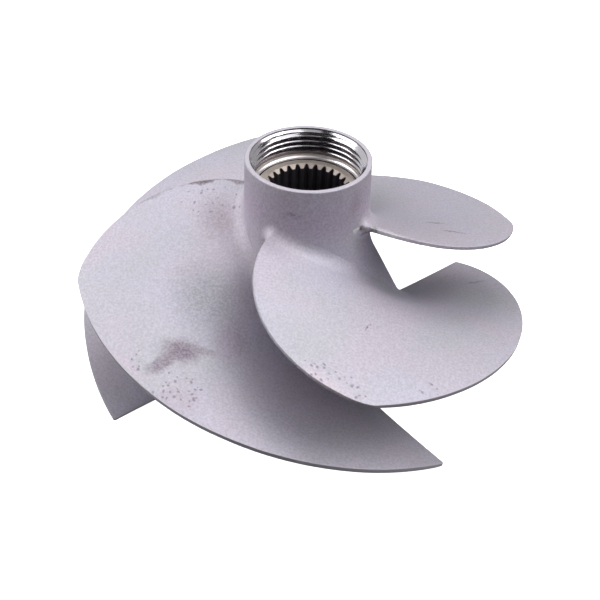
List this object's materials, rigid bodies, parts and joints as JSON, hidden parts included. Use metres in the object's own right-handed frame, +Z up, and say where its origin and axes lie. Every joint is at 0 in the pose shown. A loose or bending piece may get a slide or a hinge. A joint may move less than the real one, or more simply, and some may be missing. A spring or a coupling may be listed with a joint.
{
  "type": "jet pump impeller",
  "caption": "Overlapping spiral-bladed jet pump impeller with a flared hollow hub, a threaded inlet socket and a splined drive bushing.",
  "frame": {"origin": "on the shaft axis, in the plane of the hub's base ring on which the impeller stands", "axes": "+Z up the shaft axis towards the threaded inlet end; -Y faces the picture's camera"},
  "size_m": [0.1602, 0.1602, 0.0791],
  "materials": {
    "cast_stainless": "bead-blasted cast stainless steel, fine grain, light grey",
    "spline_steel": "machined steel, satin"
  },
  "bodies": {
    "root": {"impeller_casting": "cast_stainless", "spline_bushing": "spline_steel"}
  },
  "joints": []
}
